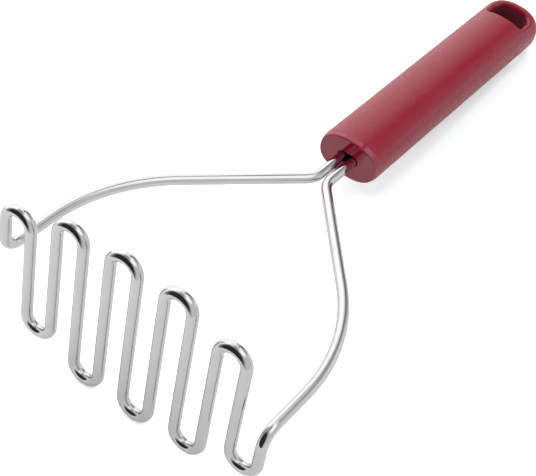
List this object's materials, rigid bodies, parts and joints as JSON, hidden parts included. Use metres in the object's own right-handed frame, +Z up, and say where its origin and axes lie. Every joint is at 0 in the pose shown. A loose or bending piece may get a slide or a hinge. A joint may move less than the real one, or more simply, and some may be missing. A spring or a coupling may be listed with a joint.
{
  "type": "potato masher",
  "caption": "Hand potato masher: one polished steel rod bent into an upright zigzag head and two arms, its ends held side by side in a red oval grip with a hang hole",
  "frame": {"origin": "On the floor, under the middle of the masher's box, as it lies at rest on two lower bends of its head and on the far end of its grip", "axes": "+Z is up, +Y runs from the head to the far end of the grip, +X runs along the zigzag"},
  "size_m": [0.1096, 0.272, 0.0649],
  "materials": {
    "polished_steel": "polished",
    "cap_plastic": "gloss",
    "core_plastic": "as moulded",
    "grip_plastic": "satin"
  },
  "bodies": {
    "root": {"masher_wire": "polished_steel", "front_cap": "cap_plastic", "core_upper": "core_plastic", "core_lower": "core_plastic", "grip": "grip_plastic"}
  },
  "joints": []
}
